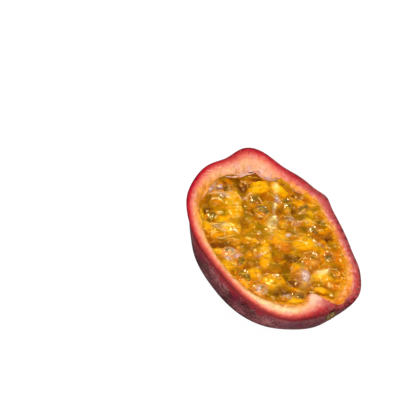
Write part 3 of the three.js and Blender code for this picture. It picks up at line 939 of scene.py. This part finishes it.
def patches(x, y, ovals):
    """How much of some soft-edged ovals shows at each point, 0 to 1."""
    flat = flat_points(x, y)
    warped_x, warped_y = x + 0.5 * wobble(flat, 2, 17), y + 0.5 * wobble(flat, 2, 18)
    shown = 0 * x
    for cx, cy, heading, length, width in ovals:
        u, v = across_oval(warped_x - cx, warped_y - cy, heading, length, width)
        shown = np.maximum(shown, 1 / (1 + np.exp(6 * (np.hypot(u, v) - 0.9))))
    return shown


def build_pulp_mass(arils, lumps):
    """One closed mass: its underside along the cavity's wall, then its top from the edge to the middle."""
    seeds = [(a.x, a.y, a.heading, 2.3, 1.6) for a in arils if a.look in ("pulp", "clear")]
    milk = [(a.x, a.y, a.heading, 3, 1.7) for a in arils if a.look == "milky"]
    washes = WASHES + [(x, y, heading, 0.7 * a, 0.8 * b) for x, y, heading, a, b in BUBBLES]
    ovals = {
        "gap": SHADED_GAPS, "light": LIGHTS, "milk": milk, "seed_below": seeds, "lilac": washes,
        "shadow": SHADOWS, "amber": AMBERS, "pale": PALES,
    }
    angle = all_round(BED_SEGMENTS)
    inner = ring_edge(angle)
    edge = inner + 0.2 + np.clip(overlap(angle), 0, None)
    rings, shown = [], []
    for share in np.linspace(0, 0.995, UNDER_RINGS):
        reach, height = cavity(angle, 1 - share)
        rings.append(ring_points(reach - 0.1, angle, height + 0.2))
    for share in np.linspace(1, 0, BED_RINGS):
        x, y = polar(edge * share, angle)
        room = inner - edge * share
        height, tint, rise = pulp_surface(x, y, room, lumps)
        over = held((0.3 - room) / (0.3 + edge - inner))
        brim = rim_height(angle) - 0.1 - 0.25 * over - 0.7 * over**4
        height = np.where(over > 0, np.minimum(height, brim), height)
        looks = {name: patches(x, y, group) for name, group in ovals.items()}
        looks["seed_below"] *= 1 - looks["light"]
        looks["edge"] = held(1 - room / 1.3) * (skirt(angle) < 1.2)
        shown.append({"tint": tint, "rise": rise, **looks})
        rings.append(ring_points(edge * share, angle, height - 0.8 * looks["gap"]))
    below = np.zeros((UNDER_RINGS, BED_SEGMENTS))
    values = {name: np.vstack([below, *(looks[name] for looks in shown)]) for name in shown[0]}
    faces = ring_faces(len(rings), BED_SEGMENTS)
    mass = new_piece("pulp_mass", np.stack(rings), faces, [JELLY], values)
    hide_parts("pulp")


def build_sacs(arils, lumps):
    """Clear and milky sacs that stand out of the mass, with the seeds in them, and bubbles of juice."""
    draw = Draw(31)
    sac_unit, sac_faces = ball(4)
    seed_unit, seed_faces = ball(3)
    sacs, seeds = Heap(), Heap()
    for a in arils:
        milk, tilt = draw(), draw()
        if a.look in MASS_LOOKS:
            continue
        clear = a.look == "clear"
        shown, milky = (0.82, 0.2 * milk) if clear else (0.76, 0.6 + 0.4 * milk)
        top = surface_at(a.x, a.y, lumps)
        place = np.array((a.x, a.y, top - 0.9 * a.size))
        body = posed(egg(sac_unit, SAC_SIZE), place, a.heading, a.pitch * 0.5, 0, a.size)
        body = body + (body - place) * relief(body, (2.4, 0.16, 8), (1, 0.06, 9))[:, None]
        sacs.add(body, sac_faces, clear=shown, milk=milky, lilac=0)
        place = np.array((a.x, a.y, top - 1.0 + 0.5 * tilt * clear))
        seed = posed(egg(seed_unit, SEED_SIZE), place, a.heading + 30 * tilt - 15, a.pitch, 70 * milk - 35)
        seeds.add(seed, seed_faces, tint=a.tint)
    for x, y, heading, length, width in BUBBLES:
        place = np.array((x, y, surface_at(x, y, lumps) - 0.05 * width))
        body = posed(egg(sac_unit, (length, width, 0.8 * width)), place, heading, 0)
        body += (body - place) * 0.1 * wobble(body, 1.4, 19)[:, None]
        # The bubbles' lilac-white is a painted highlight
        sacs.add(body, sac_faces, clear=0.62, milk=0.9, lilac=0.85)
    sacs.piece("juice_sacs", [SAC], "pulp")
    seeds.piece("seeds", [SEED], "pulp")


def tube(path, radius, sides):
    """A closed tube along a path, as points and faces."""
    ahead = np.gradient(path, axis=0)
    ahead /= np.linalg.norm(ahead, axis=1)[:, None]
    side = np.cross(ahead, (0, 0, 1))
    side /= np.linalg.norm(side, axis=1)[:, None]
    over = np.cross(side, ahead)
    turn = all_round(sides)
    around = side[:, None] * cosine(turn)[None, :, None] + over[:, None] * sine(turn)[None, :, None]
    rings = path[:, None] + radius[:, None, None] * around
    faces = ring_faces(len(path), sides)
    faces.append(tuple(range(sides))[::-1])
    faces.append(tuple((len(path) - 1) * sides + i for i in range(sides)))
    return rings.reshape(-1, 3), faces


def laid_on_pulp(x, y, lumps, lift):
    """A path over the mass, smoothed, or nothing where it would leave the cavity."""
    room = room_at(x, y)
    if room.min() < 0.5:
        return None
    height = pulp_surface(x, y, room, lumps)[0]
    smooth = np.convolve(np.pad(height, 2, mode="edge"), np.ones(5) / 5, mode="valid")
    return np.stack([x, y, np.maximum(smooth, height) + lift], axis=1)


def build_threads(arils, lumps):
    """Fine pale threads over the mass, and the folded edges of the sacs' skins, pale as a painted highlight
    along their rims.
    """
    draw = Draw(9)
    threads = Heap()
    along = np.linspace(0, 1, 16)
    taper = np.sin(np.pi * (0.06 + 0.88 * along))

    def lay(x, y, thick, lift):
        path = laid_on_pulp(x, y, lumps, lift)
        if path is not None:
            threads.add(*tube(path, thick * taper, 6))

    drawn = list(SHOWN_THREADS)
    for _ in range(THREADS):
        start = random_spot(draw, 2)
        length, bend, heading = 1.5 + 3.5 * draw(), 100 * draw() - 50, FLOW + 140 * (draw() - 0.5)
        drawn.append((*start, heading, length, bend, 0.06 + 0.08 * draw()))
    for x, y, heading, length, bend, thick in drawn:
        turned = heading + bend * along
        x = x + np.cumsum(cosine(turned)) * length / len(along)
        y = y + np.cumsum(sine(turned)) * length / len(along)
        lay(x, y, thick, -0.02)
    # Pale arcs round some sacs: their edges, pale as a painted highlight along the rims
    for a in arils:
        start, sweep, thick = 360 * draw(), 50 + 80 * draw(), 0.06 + 0.08 * draw()
        if a.look in MASS_LOOKS or draw() > 0.3:
            continue
        turned = start + sweep * along
        u, v = 0.5 * a.size * ARIL[0] * cosine(turned), 0.5 * a.size * ARIL[1] * sine(turned)
        x = a.x + u * cosine(a.heading) - v * sine(a.heading)
        y = a.y + u * sine(a.heading) + v * cosine(a.heading)
        lay(x, y, thick, 0.05)
    threads.piece("threads", [FIBRE], "pulp")


def build_lip_strands():
    """The torn edge of the pith: soft pale cords that follow the lip."""
    strands = Heap()
    for start, stop, out, thick, seed in STRANDS:
        angle = np.linspace(start, stop, 60)
        base = np.stack([angle, 0 * angle, 0 * angle + seed], axis=1) / 8
        reach = ring_edge(angle) - skirt(angle) - out + 0.7 * wobble(base, 1, seed)
        height = rim_height(angle) - 0.5 - 0.5 * skirt(angle) + 0.5 * wobble(base, 1, seed + 9) - 0.3 * out
        path = ring_points(reach, angle, height)
        taper = np.sin(np.pi * np.linspace(0.06, 0.94, len(angle)))
        strands.add(*tube(path, thick * taper * (1 + 0.4 * wobble(base * 2, 1, seed)), 10))
    strands.piece("lip_strands", [MEMBRANE], "rind")


def build_drops(lumps):
    """Beads of juice that catch the light."""
    draw = Draw(13)
    unit, faces = ball(2)
    drops = Heap()
    for _ in range(DROPS):
        x, y = random_spot(draw, 1)
        radius = 0.3 + 0.5 * draw() ** 2
        place = (x, y, surface_at(x, y, lumps) + radius * 0.1)
        drops.add(unit * (radius * 1.3, radius, radius * 0.6) + place, faces, clear=0.6, milk=0.2, lilac=0)
    for _ in range(EDGE_BEADS):
        angle = 18 + 58 * draw()
        x, y = polar(ring_edge(angle) - 0.2 - 1.3 * draw(), angle)
        radius = 0.2 + 0.35 * draw()
        place = (x, y, surface_at(x, y, lumps) + radius * 0.3)
        drops.add(unit * (radius, radius, radius * 0.8) + place, faces, clear=0.3, milk=0.1, lilac=0)
    drops.piece("juice_beads", [SAC], "pulp")


def build_pulp():
    arils = choose_looks(place_arils())
    lumps = pulp_lumps(arils)
    build_pulp_mass(arils, lumps)
    build_sacs(arils, lumps)
    build_threads(arils, lumps)
    build_lip_strands()
    build_drops(lumps)


# ---- stalk
STALK_AT, STALK_DOWN = 2, 4.5  # its angle round the fruit, and its angle down from the cut
STALK_SEGMENTS = 48
# The stub with its worn end: radius, height along the stalk
STALK_PROFILE = [
    (0, -0.5), (1.7, -0.5), (1.8, 0), (1.76, 0.3), (1.72, 0.5), (1.6, 0.7), (1.35, 0.78),
    (1, 0.6), (0.7, 0.4), (0.35, 0.3), (0, 0.28),
]


def build_stalk():
    reach, height = skin(STALK_AT, STALK_DOWN)
    axis = Vector((cosine(STALK_AT), sine(STALK_AT), -sine(STALK_DOWN))).normalized()
    turn = np.array(axis.to_track_quat("Z", "Y").to_matrix())
    angle = all_round(STALK_SEGMENTS)
    rings = []
    for radius, along in STALK_PROFILE:
        worn = radius * (1 + 0.05 * sine(angle * 5) + 0.03 * sine(angle * 13 + 40))
        ridge = along + 0.1 * sine(angle * 7) * (along > 0.6)
        rings.append(ring_points(worn, angle, ridge))
    start = np.array((*polar(reach + GAP, STALK_AT), height))
    points = np.stack(rings) @ turn.T + start
    stub = new_piece("stalk_stub", points, ring_faces(len(rings), STALK_SEGMENTS), [WOOD])
    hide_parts("stalk")


build_rind()
build_pulp()
build_stalk()


# ---- floor and light, in metres and watts
FLOOR_HALF = 6
FLOOR_GLOW = 0.93
MIDDLE_HEIGHT = 0.02  # of the fruit's middle, which every lamp faces
BOUNCE, SKY_STRENGTH = 0.5, 0.1  # the light from below, as a share of that from above


def build_floor():
    mesh = bpy.data.meshes.new("floor")
    corners = [(-1, -1), (1, -1), (1, 1), (-1, 1)]
    mesh.from_pydata([(FLOOR_HALF * x, FLOOR_HALF * y, 0) for x, y in corners], [], [(0, 1, 2, 3)])
    s = Shader("white_floor")
    s.colour = s.span(s.noise(6), 0.3, 0.7, 0.15, 0.17, smooth=False)
    glow = {"Emission_Color": (1, 1, 1, 1), "Emission_Strength": FLOOR_GLOW}
    mesh.materials.append(s.finish(s.principled(Roughness=1.0, Specular_IOR_Level=0.0, **glow)))
    floor = put("floor", mesh)
    floor.visible_diffuse = False
    floor.visible_glossy = False


def from_view(right, up, back):
    """A place measured from the fruit's middle, along the camera's own directions."""
    axes = scene.camera.matrix_world.to_3x3()
    return Vector((0, 0, MIDDLE_HEIGHT)) + axes @ Vector((right, up, back))


def from_side(heading, rise, distance):
    """A place measured from the fruit's middle, at a heading and an angle above the floor."""
    flat_reach = distance * cosine(rise)
    return Vector((*polar(flat_reach, heading), MIDDLE_HEIGHT + distance * sine(rise)))


def soft_light(name, place, size, power):
    data = bpy.data.lights.new(name, "AREA")
    data.shape = "DISK"
    data.size = size
    data.energy = power
    light = put(name, data)
    light.location = place
    aim = Vector((0, 0, MIDDLE_HEIGHT)) - place
    light.rotation_euler = aim.to_track_quat("-Z", "Y").to_euler()


def build_world():
    """Even white light from above, and the table's dimmer bounce from below."""
    s = Shader("studio", "worlds", "Generated")
    light = s.span(s.height(), 0, 0.3, BOUNCE, 1, smooth=False)
    sky = s.add("Background", {"Color": light, "Strength": SKY_STRENGTH}).outputs[0]
    scene.world = s.finish(sky, "OutputWorld")


build_floor()
build_world()
soft_light("key", from_view(0.2, 0.42, 0.46), 0.18, 2.6)
soft_light("back", from_view(-0.32, 0.62, 0.08), 0.12, 2.0)
soft_light("right", from_view(0.6, -0.2, 0.5), 0.5, 1.0)
soft_light("left", from_view(-0.55, -0.35, 0.35), 0.5, 1.1)
soft_light("rear", from_side(125, 5, 0.6), 0.1, 0.9)
soft_light("front", from_side(306, 22, 0.6), 0.2, 2.3)
scene.view_settings.view_transform = "Standard"
